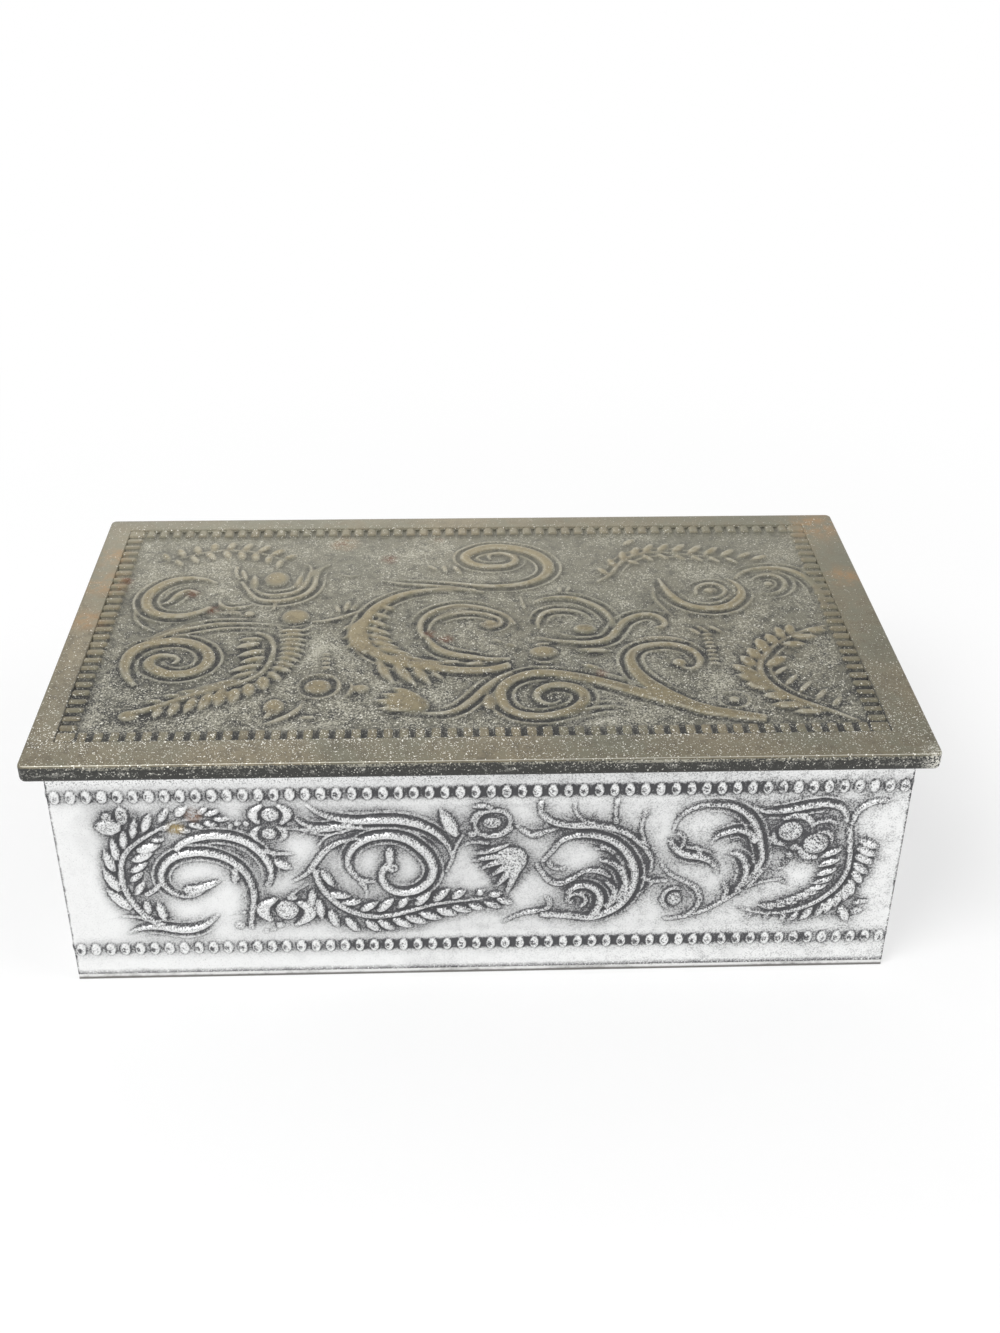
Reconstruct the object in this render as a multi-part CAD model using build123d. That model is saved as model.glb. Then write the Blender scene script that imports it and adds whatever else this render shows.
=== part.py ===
from build123d import *
import os

# Stamp box with a hinged lid: three wells with hollow floors for stamps, walls and
# lid of pressed sheet with beaded borders. The front faces -Y and +Z is up.
# The origin is on the table, below the middle of the box as it stands closed.

# Driving sizes of the whole box, in millimetres
lid_width = 108.0
lid_depth = 63.0
lid_overhang = 2.2
wall_top = 34.1

# Sheet thicknesses
lid_sheet = 0.9
wall_sheet = 1.0
base_sheet = 0.8
floor_sheet = 0.8
divider_sheet = 1.0
liner_sheet = 0.8

# Turned-down edge of the lid: its full height, its corner and edge rounding
skirt_height = 2.4
lid_corner_radius = 0.8
lid_edge_radius = 0.3
skirt_foot_radius = 0.6

# Sunk field of the lid, with a border of beads standing in it; the die was set a little off the middle
border_inset = 5.2
border_shift_x = -0.8
border_shift_y = 0.9
field_sink = 0.45
lid_bead_pitch = 1.93
lid_bead_length = 1.5
lid_bead_width = 2.1
lid_bead_rise = 0.55

# Two rows of beads on every wall
upper_row_height = 28.9
lower_row_height = 5.0
wall_bead_pitch = 1.85
wall_bead_length = 1.4
wall_bead_width = 2.0
wall_bead_rise = 0.45
bead_top_share = 0.45

# Liner under the lid, which drops inside the walls and keeps the lid in line
liner_clearance = 1.0
divider_clearance = 0.4

# Wells: floors curved from front to back, low in the middle
well_count = 3
floor_sag = 13.0
floor_lift = 0.7

# Hinge along the back: two leaves with rolled knuckles on one pin
hinge_length = 94.0
knuckle_count = 7
knuckle_radius = 0.9
pin_radius = 0.45
pin_clearance = 0.03
knuckle_gap = 0.15
leaf_gap = 0.15
leaf_sheet = 0.4
neck_width = 0.8
axis_inset = 0.2
notch_clearance = 0.3

# Places worked out from the sizes above
body_width = lid_width - 2 * lid_overhang
body_depth = lid_depth - 2 * lid_overhang
inner_width = body_width - 2 * wall_sheet
inner_depth = body_depth - 2 * wall_sheet
lid_top = wall_top + lid_sheet
ground_top = lid_top - field_sink
well_width = (inner_width - (well_count - 1) * divider_sheet) / well_count
floor_low = base_sheet + floor_lift + floor_sheet
leaf_offset = knuckle_radius + leaf_gap
axis_y = body_depth / 2 - axis_inset
axis_z = wall_top - leaf_sheet - leaf_offset
notch_floor = axis_z - leaf_offset - leaf_sheet
notch_length = hinge_length + 2 * notch_clearance
divider_top = notch_floor - divider_clearance


def block(low_x, high_x, low_y, high_y, low_z, high_z):
    """Box between two corners."""
    size_x = high_x - low_x
    size_y = high_y - low_y
    size_z = high_z - low_z
    middle = ((low_x + high_x) / 2, (low_y + high_y) / 2, (low_z + high_z) / 2)
    return Pos(*middle) * Box(size_x, size_y, size_z)


def bead(length, width, rise):
    """One bead on the XY plane: flat sides drawn in towards a small top."""
    long_inset = length * (1 - bead_top_share) / 2
    wide_inset = width * (1 - bead_top_share) / 2
    lying = Wedge(length, rise, width, long_inset, wide_inset, length - long_inset, width - wide_inset)
    return Pos(0, 0, rise / 2) * Rot(90, 0, 0) * lying


def row_places(length, pitch):
    """Evenly spaced places along a row, half a step in from each end."""
    count = max(1, round(length / pitch))
    step = length / count
    return [-length / 2 + (index + 0.5) * step for index in range(count)]


def wall_beads(length):
    """Both bead rows of the front wall, as long as the wall."""
    pearl = Rot(90, 0, 0) * bead(wall_bead_length, wall_bead_width, wall_bead_rise)
    rows = [(x, z) for z in (lower_row_height, upper_row_height) for x in row_places(length, wall_bead_pitch)]
    return [Pos(x, 0, z) * pearl for x, z in rows]


def wall(length, half_depth):
    """One wall, facing -Y, with mitred ends; its outer face lies at -half_depth."""
    outer = length / 2
    inner = outer - wall_sheet
    with BuildPart() as plate:
        with BuildSketch(Plane.XY.offset(base_sheet)):
            with BuildLine():
                Polyline((-outer, 0), (outer, 0), (inner, wall_sheet), (-inner, wall_sheet), close=True)
            make_face()
        extrude(amount=wall_top - base_sheet)
    return Pos(0, -half_depth, 0) * (plate.part + wall_beads(length))


def front_panel():
    return wall(body_width, body_depth / 2)


def back_panel():
    """The wall behind, cut down between its ends to take the hinge."""
    panel = Rot(0, 0, 180) * wall(body_width, body_depth / 2)
    notch_end = notch_length / 2
    reach = 2 * wall_sheet
    face = body_depth / 2
    return panel - block(-notch_end, notch_end, face - reach, face + reach, notch_floor, wall_top + reach)


def right_end_panel():
    return Rot(0, 0, 90) * wall(body_depth, body_width / 2)


def left_end_panel():
    return Rot(0, 0, -90) * wall(body_depth, body_width / 2)


def base_plate():
    half_width = body_width / 2
    half_depth = body_depth / 2
    return block(-half_width, half_width, -half_depth, half_depth, 0, base_sheet)


def well_middle(index):
    """Middle of a well along X, counted from the left."""
    return (index - (well_count - 1) / 2) * (well_width + divider_sheet)


def well_floor(index):
    """Curved sheet from the front wall to the back wall, lowest halfway."""
    half = inner_depth / 2
    ends = floor_low + floor_sag
    under = floor_sheet
    start = well_middle(index) - well_width / 2
    with BuildPart() as floor:
        with BuildSketch(Plane.YZ.offset(start)):
            with BuildLine():
                ThreePointArc((-half, ends), (0, floor_low), (half, ends))
                Line((half, ends), (half, ends - under))
                ThreePointArc((half, ends - under), (0, floor_low - under), (-half, ends - under))
                Line((-half, ends - under), (-half, ends))
            make_face()
        extrude(amount=well_width)
    return floor.part


def divider(index):
    """Upright plate between a well and the next one to its right."""
    low_x = well_middle(index) + well_width / 2
    half = inner_depth / 2
    return block(low_x, low_x + divider_sheet, -half, half, base_sheet, divider_top)


def knuckle_places():
    """Start and end of each knuckle along X, from the left."""
    length = (hinge_length - (knuckle_count - 1) * knuckle_gap) / knuckle_count
    starts = [-hinge_length / 2 + index * (length + knuckle_gap) for index in range(knuckle_count)]
    return [(start, start + length) for start in starts]


def knuckles(first, side):
    """Every second tube of the hinge, each with a neck to the leaf above (side 1) or below (side -1)."""
    tubes = []
    for start, end in knuckle_places()[first::2]:
        with BuildPart() as tube:
            with BuildSketch(Plane.YZ.offset(start)):
                with Locations((axis_y, axis_z)):
                    Circle(knuckle_radius)
                with Locations((axis_y, axis_z + side * leaf_offset / 2)):
                    Rectangle(neck_width, leaf_offset)
                with Locations((axis_y, axis_z)):
                    Circle(pin_radius + pin_clearance, mode=Mode.SUBTRACT)
            extrude(amount=end - start)
        tubes.append(tube.part)
    return tubes


def hinge_body_leaf():
    """Strip on the cut-down edge of the back wall, with the knuckles that stay with the box."""
    half = hinge_length / 2
    face = body_depth / 2
    strip = block(-half, half, face - wall_sheet, face, notch_floor, notch_floor + leaf_sheet)
    return strip + knuckles(0, -1)


def hinge_lid_leaf():
    """Strip under the rear edge of the lid, with the knuckles that turn with it."""
    half = hinge_length / 2
    low_y = body_depth / 2 - wall_sheet
    strip = block(-half, half, low_y, lid_depth / 2, wall_top - leaf_sheet, wall_top)
    return strip + knuckles(1, 1)


def hinge_pin():
    return Pos(0, axis_y, axis_z) * Rot(0, 90, 0) * Cylinder(pin_radius, hinge_length)


def lid_beads():
    """Border of beads in the sunk field, one at each corner."""
    half_x = lid_width / 2 - border_inset
    half_y = lid_depth / 2 - border_inset
    pearl = bead(lid_bead_length, lid_bead_width, lid_bead_rise)
    corner = bead(lid_bead_width, lid_bead_width, lid_bead_rise)
    beads = [Pos(x, y, 0) * corner for x in (-half_x, half_x) for y in (-half_y, half_y)]
    for x in row_places(2 * half_x - lid_bead_width, lid_bead_pitch):
        beads += [Pos(x, y, 0) * pearl for y in (-half_y, half_y)]
    for y in row_places(2 * half_y - lid_bead_width, lid_bead_pitch):
        beads += [Pos(x, y, 0) * Rot(0, 0, 90) * pearl for x in (-half_x, half_x)]
    return [Pos(border_shift_x, border_shift_y, ground_top) * one for one in beads]


def lid_shell():
    """Top plate with its edge turned down at the front and both ends, open at the back."""
    half_x = lid_width / 2
    half_y = lid_depth / 2
    low_z = lid_top - skirt_height
    shell = block(-half_x, half_x, -half_y, half_y, low_z, lid_top)
    shell = fillet(shell.edges().filter_by(Axis.Z), lid_corner_radius)
    shell = fillet(shell.faces().sort_by(Axis.Z)[-1].edges(), lid_edge_radius)
    shell = fillet(shell.faces().sort_by(Axis.Z)[0].edges(), min(skirt_foot_radius, lid_sheet))
    inner_x = half_x - lid_sheet
    shell -= block(-inner_x, inner_x, lid_sheet - half_y, half_y + lid_sheet, low_z - lid_sheet, wall_top)
    field_x = half_x - border_inset + lid_bead_width / 2
    field_y = half_y - border_inset + lid_bead_width / 2
    field = block(-field_x, field_x, -field_y, field_y, ground_top, lid_top + field_sink)
    shell -= Pos(border_shift_x, border_shift_y, 0) * field
    return shell + lid_beads()


def lid_liner():
    half_x = inner_width / 2 - liner_clearance
    half_y = inner_depth / 2 - liner_clearance
    return block(-half_x, half_x, -half_y, half_y, wall_top - liner_sheet, wall_top)


def main():
    pieces = {
        "front_panel": front_panel(),
        "back_panel": back_panel(),
        "left_end_panel": left_end_panel(),
        "right_end_panel": right_end_panel(),
        "base_plate": base_plate(),
        "left_well_floor": well_floor(0),
        "middle_well_floor": well_floor(1),
        "right_well_floor": well_floor(2),
        "left_divider": divider(0),
        "right_divider": divider(1),
        "hinge_body_leaf": hinge_body_leaf(),
        "hinge_pin": hinge_pin(),
        "hinge_lid_leaf": hinge_lid_leaf(),
        "lid_shell": lid_shell(),
        "lid_liner": lid_liner(),
    }
    os.makedirs("parts", exist_ok=True)
    for name, piece in pieces.items():
        export_step(piece, "parts/" + name + ".step")
    print("hinge axis at y", axis_y, "z", axis_z)


main()
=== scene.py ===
import math
import bpy
import bmesh
import numpy as np
from mathutils import Matrix, Vector


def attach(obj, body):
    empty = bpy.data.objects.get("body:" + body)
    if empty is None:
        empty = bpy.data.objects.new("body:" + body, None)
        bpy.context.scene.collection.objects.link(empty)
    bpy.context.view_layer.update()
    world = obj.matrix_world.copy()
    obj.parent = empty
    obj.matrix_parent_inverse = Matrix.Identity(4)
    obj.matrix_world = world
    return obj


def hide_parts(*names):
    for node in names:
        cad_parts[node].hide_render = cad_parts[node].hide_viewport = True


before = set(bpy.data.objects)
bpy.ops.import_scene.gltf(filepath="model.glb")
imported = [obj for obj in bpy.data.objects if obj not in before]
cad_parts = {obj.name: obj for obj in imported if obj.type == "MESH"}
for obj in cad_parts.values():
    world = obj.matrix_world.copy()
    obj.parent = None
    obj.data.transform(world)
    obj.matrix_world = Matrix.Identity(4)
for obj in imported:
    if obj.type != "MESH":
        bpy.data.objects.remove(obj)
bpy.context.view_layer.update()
mm = 0.001

# where the photograph was taken from: places in mm, angles in degrees
camera = {
    "place": (-3.89, -179.03, 139.98),
    "yaw": 2.19,
    "pitch": 31.97,
    "roll": 0.46,
    "lens": 42.0,
    "longSide": 36.0,
    "nearest": 10,
}

studio = {
    "skyOnMatt": 0.6,
    "lamps": {
        "keyLamp": {"place": (-260, -260, 460), "size": 300, "watts": 1.6},
        "fillLamp": {"place": (380, -120, 300), "size": 260, "watts": 0.5},
        "rearLamp": {"place": (-90, 420, 300), "size": 300, "watts": 0.35},
    },
    "floorSize": 6000,
    "floorGap": 0.02,
    "floorColour": (0.93, 0.93, 0.93, 1),
    "shadowShare": 0.62,
    "shadowReach": (60, 220),
}


class Wire:
    # an output socket of a material, so that sums on it read as plain Python
    def __init__(self, tree, socket=None):
        self.tree = tree
        self.socket = socket

    def make(self, kind, settings, sockets, output=0):
        node = self.tree.nodes.new(kind)
        for name, value in settings.items():
            setattr(node, name, value)
        for key, value in sockets.items():
            if isinstance(value, Wire):
                self.tree.links.new(value.socket, node.inputs[key])
            else:
                node.inputs[key].default_value = value
        return Wire(self.tree, node.outputs[output] if node.outputs else None)

    def maths(self, operation, *values):
        return self.make("ShaderNodeMath", {"operation": operation}, dict(enumerate(values)))

    def __add__(self, other):
        return self.maths("ADD", self, other)

    def __radd__(self, other):
        return self.maths("ADD", other, self)

    def __sub__(self, other):
        return self.maths("SUBTRACT", self, other)

    def __rsub__(self, other):
        return self.maths("SUBTRACT", other, self)

    def __mul__(self, other):
        return self.maths("MULTIPLY", self, other)

    def __truediv__(self, other):
        return self.maths("DIVIDE", self, other)

    def __abs__(self):
        return self.maths("ABSOLUTE", self)

    def part(self):
        return self.maths("FRACT", self)

    def most(self, other):
        return self.maths("MAXIMUM", self, other)

    def clamp(self):
        return self.make("ShaderNodeClamp", {}, {0: self})

    def step(self, low, high):  # 0 at low and 1 at high, eased
        return self.make("ShaderNodeMapRange", {"interpolation_type": "SMOOTHSTEP"}, {0: self, 1: low, 2: high})

    def axis(self, index):
        return self.make("ShaderNodeSeparateXYZ", {}, {0: self}, index)

    def noise(self, scale, detail, seed, rough=0.5):  # scale in waves for each mm
        sockets = {"Vector": self, "W": seed, "Scale": scale, "Detail": detail, "Roughness": rough}
        return self.make("ShaderNodeTexNoise", {"noise_dimensions": "4D"}, sockets)

    def mix(self, first, second):  # two colours, with this value as the share of the second
        return self.make("ShaderNodeMix", {"data_type": "RGBA"}, {0: self, 6: first, 7: second}, 2)

    def near(self, spot, reach):  # 1 at a spot, 0 at the reach and beyond
        gap = self.make("ShaderNodeVectorMath", {"operation": "DISTANCE"}, {0: self, 1: spot}, "Value")
        return gap.step(reach, 0)


def newFinish(name):
    finish = bpy.data.materials.new(name)
    finish.use_nodes = True
    finish.node_tree.nodes.clear()
    return finish, Wire(finish.node_tree)


def closeFinish(wire, sockets):
    shader = wire.make("ShaderNodeBsdfPrincipled", {}, sockets)
    wire.make("ShaderNodeOutputMaterial", {}, {"Surface": shader})


def placeInMm(wire):
    place = wire.make("ShaderNodeTexCoord", {}, {}, "Object")
    return wire.make("ShaderNodeVectorMath", {"operation": "SCALE"}, {0: place, "Scale": 1 / mm})


def attributes(wire, *labels):
    return [wire.make("ShaderNodeAttribute", {"attribute_name": label}, {}, "Fac") for label in labels]


def noises(place, kinds, shift=0):  # one for each kind: scale, detail, seed and, if need be, roughness
    return [place.noise(scale, detail, seed + shift, *rough) for scale, detail, seed, *rough in kinds]


def bump(wire, height, depth):  # depth in mm
    return wire.make("ShaderNodeBump", {}, {"Strength": 1.0, "Distance": depth * mm, "Height": height})


def seenBy(wire, kind, *others):  # 1 to rays of any of these kinds
    ray = wire.make("ShaderNodeLightPath", {}, {}, "Is " + kind + " Ray")
    return ray.most(seenBy(wire, *others)) if others else ray


def setCamera():
    yaw, pitch, roll = (math.radians(camera[name]) for name in ("yaw", "pitch", "roll"))
    ahead = Vector((math.sin(yaw) * math.cos(pitch), math.cos(yaw) * math.cos(pitch), -math.sin(pitch)))
    level = ahead.cross(Vector((0, 0, 1))).normalized()
    upright = level.cross(ahead)
    right = level * math.cos(roll) + upright * math.sin(roll)
    up = upright * math.cos(roll) - level * math.sin(roll)
    turn = Matrix((right, up, -ahead)).transposed().to_euler()
    bpy.ops.object.camera_add(location=Vector(camera["place"]) * mm, rotation=turn)
    shot = bpy.context.object
    shot.data.lens = camera["lens"]
    shot.data.sensor_width = camera["longSide"]
    shot.data.clip_start = camera["nearest"] * mm
    bpy.context.scene.camera = shot
    bpy.context.scene.view_settings.view_transform = "Standard"


def lightStudio():
    sky = bpy.data.worlds.new("paleSky")
    sky.use_nodes = True
    sky.node_tree.nodes.clear()
    wire = Wire(sky.node_tree)
    seen = seenBy(wire, "Camera", "Glossy", "Transmission")
    level = studio["skyOnMatt"] + seen * (1 - studio["skyOnMatt"])
    glow = wire.make("ShaderNodeBackground", {}, {"Color": (1, 1, 1, 1), "Strength": level})
    wire.make("ShaderNodeOutputWorld", {}, {"Surface": glow})
    bpy.context.scene.world = sky
    for name, lamp in studio["lamps"].items():
        place = Vector(lamp["place"]) * mm
        turn = (-place).to_track_quat("-Z", "Y").to_euler()
        bpy.ops.object.light_add(type="AREA", location=place, rotation=turn)
        bpy.context.object.name = name
        bpy.context.object.data.size = lamp["size"] * mm
        bpy.context.object.data.energy = lamp["watts"]


def layFloor():  # the camera sees it white but for the shadow, which fades out around the box
    bpy.ops.mesh.primitive_plane_add(size=studio["floorSize"] * mm, location=(0, 0, -studio["floorGap"] * mm))
    floor = bpy.context.object
    floor.name = "floor"
    finish, wire = newFinish("paleFloor")
    start, end = studio["shadowReach"]
    far = 1 - placeInMm(wire).near((0, 0, 0), end).step(0, 1 - start / end)
    share = seenBy(wire, "Camera", "Glossy") * (1 - (1 - far) * studio["shadowShare"])
    matt = wire.make("ShaderNodeBsdfDiffuse", {}, {"Color": studio["floorColour"]})
    white = wire.make("ShaderNodeEmission", {}, {"Color": (1, 1, 1, 1), "Strength": 1.0})
    both = wire.make("ShaderNodeMixShader", {}, {0: share, 1: matt, 2: white})
    wire.make("ShaderNodeOutputMaterial", {}, {"Surface": both})
    floor.data.materials.append(finish)


setCamera()
lightStudio()
layFloor()
print("camera, floor and light are set")

# scroll ornament of the walls, in drawing units: strokes are (widths along it, points as u,v, u,v ...),
# leaves are (foot, tip, width) and balls are (middle, half width, half height)
wallStrokes = [
    # left scroll with its laurel stem
    ((15, 13, 6), (222,425, 190,392, 163,345, 151,300, 151,255, 163,213, 190,182, 230,152, 270,128, 315,111,
        370,108)),
    ((6, 22, 9), (140,458, 165,442, 215,432, 265,440, 305,442, 340,430, 362,412, 376,397)),
    ((5, 14), (108,405, 150,398, 200,408, 240,428)),
    ((12, 20, 4), (455,445, 459,400, 468,350, 466,310, 448,262, 415,228, 370,209, 320,208, 280,222, 255,250,
        247,285, 262,318, 295,338, 330,335, 358,312, 392,290)),
    ((14, 10), (203,332, 225,318, 245,295)),
    ((8, 5), (450,330, 435,350, 415,365)),
    ((16, 20, 12), (290,197, 310,178, 350,162, 400,157, 445,168, 480,192, 505,228, 516,265, 513,290, 503,312)),
    ((12, 8), (500,203, 535,213, 583,215)),
    ((8, 4), (445,390, 410,398, 380,410)),
    # berries
    ((10, 24, 10), (506,70, 484,95, 496,124)),
    ((10, 24, 10), (544,70, 566,96, 548,126)),
    ((8, 18, 8), (498,132, 482,152, 492,176)),
    ((8, 18, 8), (540,132, 556,153, 544,176)),
    ((12, 34, 12), (522,350, 488,382, 506,420)),
    ((12, 32, 10), (574,360, 604,392, 566,436)),
    # second scroll with its laurel stem
    ((8, 22, 8), (610,68, 640,95, 680,112, 730,120, 790,118, 850,125, 895,145, 925,172, 945,205, 953,235)),
    ((8, 18), (583,108, 605,128, 640,138, 680,135, 720,130)),
    ((6, 14), (553,138, 600,142, 640,145, 690,140)),
    ((6, 7), (582,170, 600,155, 640,150)),
    ((8, 16, 8), (560,302, 600,276, 622,246, 650,207, 690,180, 735,170)),
    ((8, 9), (630,195, 655,165, 700,148, 740,135)),
    ((10, 22, 16), (765,303, 735,298, 712,275, 702,245, 708,215, 735,183, 785,165, 835,172, 875,202, 902,245,
        905,280, 885,317, 845,337, 805,330, 785,303, 785,270, 800,248)),
    ((14, 6), (730,300, 742,325, 742,355)),
    ((16, 14, 8), (622,262, 632,310, 655,350, 690,385, 740,408, 790,410, 850,395, 900,378, 960,368, 1025,360)),
    ((9, 6), (560,340, 580,322, 605,305)),
    # rosebud and bell flower
    ((9, 8), (938,275, 950,240, 960,205, 978,165)),
    ((6, 12), (972,202, 1000,188, 1038,191)),
    ((10, 11, 11), (1012,160, 1006,136, 1018,108, 1048,96, 1078,104, 1088,128, 1076,154, 1046,168, 1014,164)),
    ((6, 11, 6), (995,134, 1006,108, 1024,94)),
    ((8, 14, 8), (1000,84, 1024,82, 1048,88)),
    ((8, 14, 10), (1028,175, 1066,166, 1094,146)),
    ((8, 16, 8), (1103,138, 1118,155, 1140,168, 1170,160, 1200,150)),
    ((20, 16, 6), (1105,226, 1050,232, 990,248)),
    ((20, 18, 6), (1105,234, 1060,248, 1008,275)),
    ((20, 18, 6), (1105,240, 1075,265, 1037,296)),
    ((20, 20, 8), (1108,244, 1085,282, 1056,324)),
    ((20, 20, 10), (1112,248, 1098,292, 1082,343)),
    ((10, 16, 10), (1060,224, 1088,212, 1114,222, 1122,246, 1112,276)),
    ((8, 14, 8), (1000,222, 1045,214, 1085,196)),
    ((5, 6), (1122,200, 1150,180, 1165,170)),
    # third scroll
    ((10, 20, 16), (1165,250, 1190,215, 1210,187, 1250,172, 1300,178, 1340,200, 1370,240, 1385,290, 1378,340,
        1355,385, 1320,412, 1285,425, 1240,420, 1163,412)),
    ((14, 20), (1227,350, 1240,333, 1265,325, 1290,335, 1305,360, 1303,390, 1290,418)),
    ((10, 13), (1258,392, 1272,375, 1265,357, 1240,352, 1228,370, 1245,378)),
    ((14, 16, 8), (1158,70, 1162,108, 1185,130, 1225,142, 1290,145, 1345,160, 1385,190, 1410,222, 1424,262,
        1420,288)),
    ((9, 10), (1238,75, 1240,100, 1255,125, 1290,140)),
    ((10, 12), (1335,65, 1332,110, 1335,140)),
    ((9, 10), (1402,110, 1394,145, 1400,185, 1412,215)),
    ((10, 14), (1290,213, 1318,214, 1335,228)),
    ((9, 19, 12), (1300,246, 1338,264, 1360,298, 1366,338, 1348,378)),
    ((11, 16, 8), (1265,280, 1300,281, 1328,300)),
    ((9, 19, 10), (1317,312, 1338,340, 1338,372, 1320,396)),
    ((10, 15, 10), (1150,256, 1168,288, 1182,308, 1207,318, 1235,304, 1265,281)),
    ((12, 9), (1180,250, 1190,268, 1220,275)),
    ((9, 15, 9), (1172,355, 1185,372, 1182,392, 1160,400)),
    ((8, 14), (1068,440, 1090,425, 1120,410, 1160,400)),
    ((9, 12), (1400,300, 1420,312, 1462,314)),
    ((9, 6), (1430,318, 1415,335, 1400,350)),
    # fourth scroll
    ((9, 12), (1500,342, 1478,338, 1460,352, 1455,380, 1468,402)),
    ((8, 14, 8), (1443,250, 1455,280, 1490,310, 1520,328, 1540,355, 1542,385, 1525,415, 1495,432, 1457,435)),
    ((8, 18, 10), (1468,165, 1478,128, 1510,98, 1560,88, 1605,97, 1640,125, 1660,160, 1672,205, 1680,250,
        1670,285, 1655,315, 1640,335)),
    ((14, 19, 10), (1462,190, 1475,215, 1500,235, 1540,245, 1568,265, 1580,300)),
    ((12, 8), (1478,170, 1495,185, 1490,210, 1480,225)),
    ((8, 12), (1500,215, 1525,215, 1535,235)),
    ((10, 18), (1560,205, 1568,185, 1590,172, 1620,165, 1650,180, 1660,200)),
    ((11, 18, 10), (1600,230, 1627,240, 1645,275, 1643,315, 1625,350)),
    ((10, 15, 9), (1592,315, 1605,345, 1598,378)),
    ((8, 10), (1650,340, 1690,322, 1728,318, 1745,330)),
    ((9, 10), (1655,335, 1672,310, 1685,280)),
    ((9, 12, 10), (1457,435, 1520,425, 1580,395, 1640,345)),
    # right fern with its berries
    ((8, 18, 12), (1645,93, 1668,108, 1700,111, 1740,104, 1790,93, 1830,95, 1855,113, 1865,145)),
    ((11, 15, 14, 12), (1876,152, 1884,118, 1906,94, 1932,84, 1955,84)),
    ((14, 12, 8), (1872,158, 1880,220, 1884,270, 1874,320, 1850,360, 1815,392, 1765,415, 1710,422, 1665,412,
        1630,398)),
    ((10, 18, 12), (1718,134, 1746,124, 1776,134, 1790,158)),
    ((10, 16, 10), (1700,172, 1704,198, 1730,210)),
    ((8, 13, 8), (1786,152, 1815,139, 1844,150)),
    ((10, 20, 12), (1762,218, 1776,242, 1808,250)),
    ((8, 13, 8), (1800,172, 1828,178, 1838,208)),
]
wallLeaves = [
    (160,375, 108,312, 16), (140,318, 107,250, 16), (133,258, 117,192, 15), (145,225, 140,158, 13),
    (165,190, 172,135, 13), (190,160, 203,100, 12), (218,142, 240,90, 14), (258,115, 285,75, 12),
    (300,97, 330,70, 14), (352,95, 380,72, 9), (370,97, 410,82, 10), (390,108, 430,108, 10),
    (365,118, 400,127, 10), (330,122, 368,132, 10), (265,140, 285,122, 9), (300,135, 335,145, 10),
    (235,168, 270,165, 9), (197,199, 255,181, 16), (183,228, 235,205, 14), (175,262, 220,232, 12),
    (170,290, 205,262, 11), (178,332, 205,288, 12), (205,390, 200,348, 12), (243,412, 229,353, 14),
    (165,128, 103,124, 28), (430,250, 425,308, 10), (525,233, 568,260, 15), (637,265, 668,320, 13),
    (655,338, 705,348, 13), (728,363, 680,368, 12), (728,392, 772,365, 13), (770,395, 810,355, 14),
    (820,385, 845,350, 13), (862,378, 900,335, 14), (905,365, 945,328, 14), (950,358, 985,330, 13),
    (1010,347, 1030,332, 12), (1040,350, 1072,345, 12), (613,325, 605,385, 13), (625,355, 632,420, 14),
    (652,390, 670,447, 14), (690,415, 722,460, 14), (738,425, 775,460, 14), (770,425, 810,455, 14),
    (805,420, 855,448, 14), (835,412, 892,435, 14), (870,402, 925,422, 14), (912,393, 965,410, 14),
    (950,385, 1000,400, 13), (990,378, 1030,395, 12), (1028,372, 1072,390, 12), (1058,362, 1100,378, 12),
    (803,250, 803,197, 14), (962,168, 925,88, 20), (306,330, 398,288, 13), (1900,200, 1948,225, 14),
    (1898,223, 1944,249, 14), (1897,247, 1941,273, 14), (1896,272, 1931,304, 14), (1896,296, 1921,334, 14),
    (1893,320, 1902,374, 14), (1884,340, 1887,390, 14), (1873,360, 1866,408, 13), (1858,376, 1844,427, 13),
    (1840,394, 1822,440, 12), (1812,408, 1790,446, 12), (1782,418, 1762,448, 11), (1750,424, 1740,445, 10),
    (1710,426, 1700,445, 10), (1670,420, 1660,440, 10), (1862,224, 1811,252, 11), (1862,254, 1809,280, 11),
    (1858,284, 1807,308, 11), (1850,313, 1804,333, 10), (1840,336, 1788,354, 10), (1824,356, 1766,368, 10),
    (1802,374, 1744,378, 10), (1778,390, 1722,384, 10), (1750,401, 1698,388, 10), (1722,408, 1676,390, 9),
    (1880,405, 1900,455, 16), (1905,395, 1950,385, 9),
]
wallBalls = [
    (172,95, 15,27), (135,97, 12,12), (318,320, 20,16), (427,432, 12,12), (525,98, 21,20), (519,153, 18,17),
    (547,386, 28,31), (562,348, 14,9), (527,433, 10,10), (510,447, 7,7), (490,453, 7,7), (428,130, 7,7),
    (445,122, 8,8), (467,123, 8,8), (808,262, 14,14), (999,164, 11,9), (1046,131, 22,17), (1090,240, 26,20),
    (1402,108, 9,9), (1215,272, 8,8), (1483,370, 17,22), (1738,170, 30,29), (1800,208, 32,31),
    (1752,218, 10,10), (1742,241, 9,9), (1735,262, 9,9), (1726,281, 8,8), (1714,294, 7,7), (1702,305, 6,6),
    (1918,420, 16,11),
]
# the bow is how far the middle of the drawing lies to the right of its place on the wall
wallOrnament = {
    "unitsPerMm": 19.3,
    "middle": (1000, 598.3),
    "bow": 26,
    "besideGap": 13,
    "besideWidth": 7.5,
    "sunk": 0.08,
    "swell": 1.75,
    "leafFullness": 1.55,
    "strokes": wallStrokes,
    "leaves": wallLeaves,
    "balls": wallBalls,
}
wholeDrawing = (0, 2000)  # how much of a drawing is used, from one u to the other
leftHalf = (60, 1110)

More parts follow.
